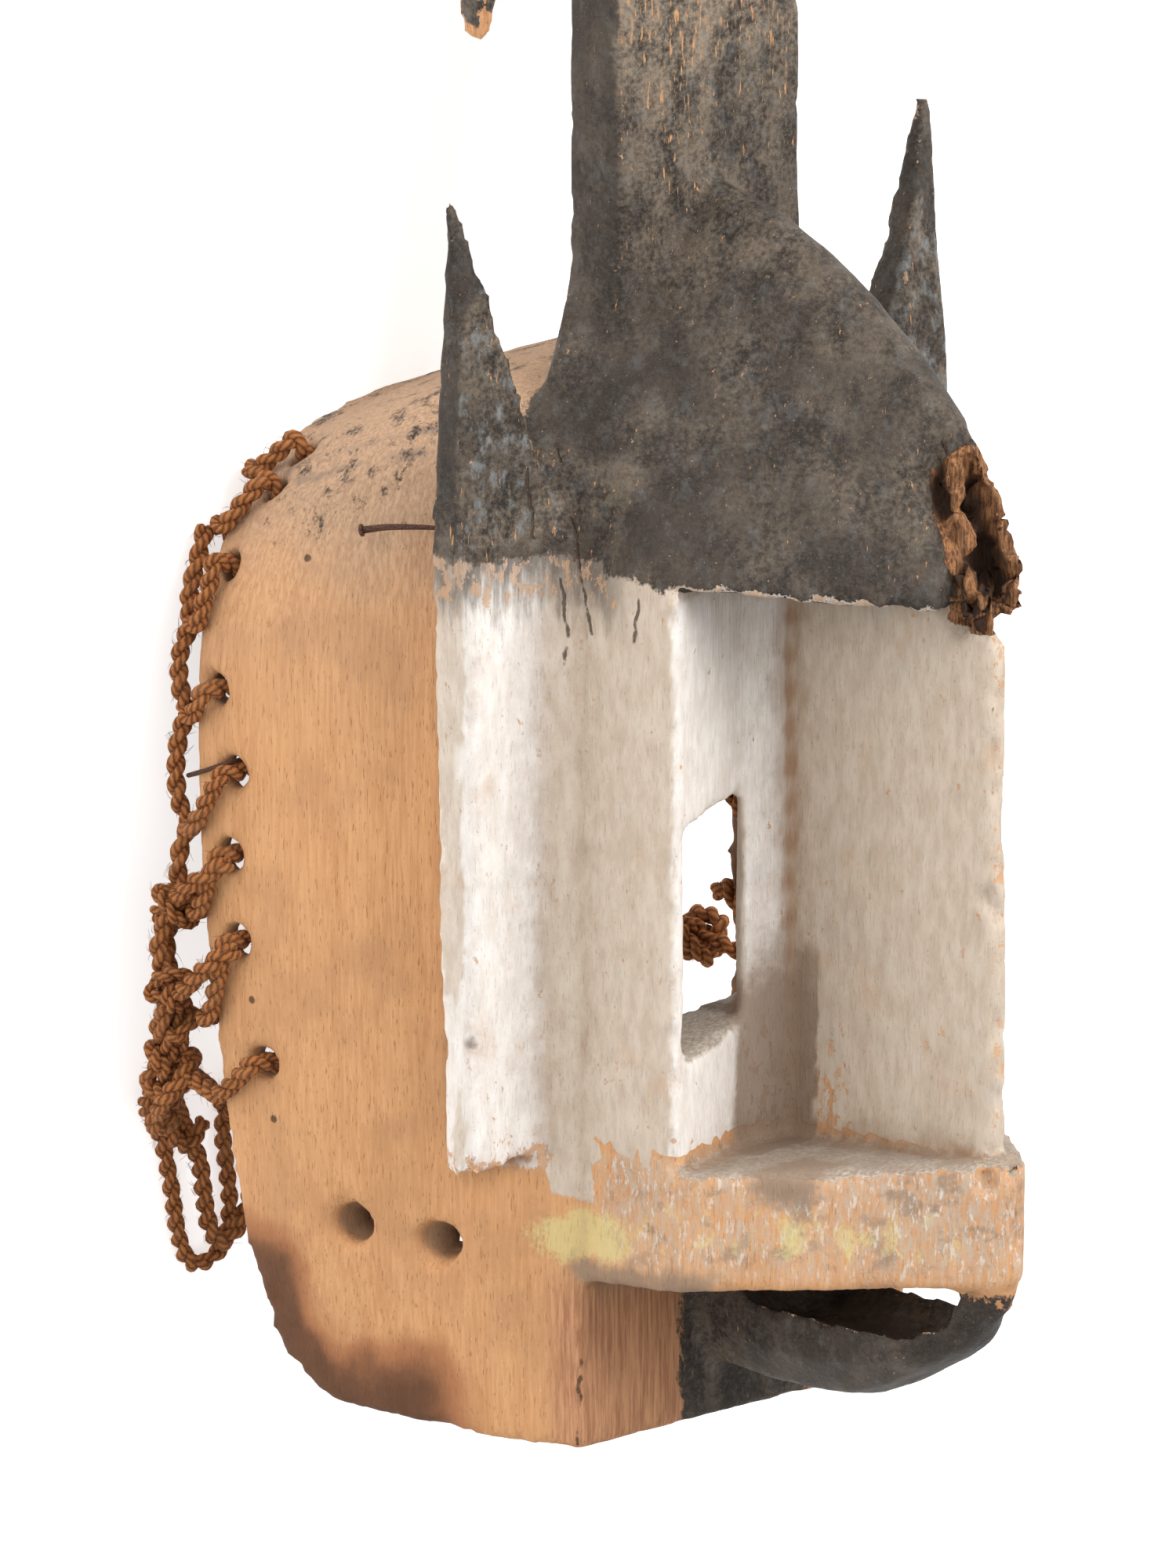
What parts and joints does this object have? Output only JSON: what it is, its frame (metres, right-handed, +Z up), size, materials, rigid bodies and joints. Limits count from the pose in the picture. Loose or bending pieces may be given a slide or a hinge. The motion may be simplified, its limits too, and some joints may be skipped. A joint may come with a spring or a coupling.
{
  "type": "kanaga mask",
  "caption": "Carved wooden helmet mask with a boxed face, pointed ears, tall flat crest with crossbars, and rope lacing on its rim.",
  "frame": {"origin": "middle of the part's footprint, at the level of the surface that it lies on", "axes": "+X across the face to the viewer's right, +Y from chin to crest, +Z up; the mask lies on its back and its face looks up"},
  "size_m": [0.264, 0.8828, 0.2882],
  "materials": {
    "carved_wood": "bare tan wood outside, white and black earth paint worn through on face, ears and crest",
    "blackened_wood": "matt charcoal paint worn to tan wood at the edges",
    "thong": "dark dry hide",
    "plant_fibre": "rust-brown two-strand twist",
    "dark_iron": "rusted dark"
  },
  "bodies": {
    "root": {"head": "carved_wood", "lower_crossbar": "blackened_wood", "upper_crossbar": "blackened_wood", "lower_lashing": "thong", "upper_lashing": "thong", "nail": "dark_iron", "wire_tie": "dark_iron", "left_lacing": "plant_fibre", "left_knot": "plant_fibre", "left_loops": "plant_fibre", "left_end_knot": "plant_fibre", "right_lacing": "plant_fibre", "right_knot": "plant_fibre", "right_loops": "plant_fibre", "right_end_knot": "plant_fibre"}
  },
  "joints": []
}
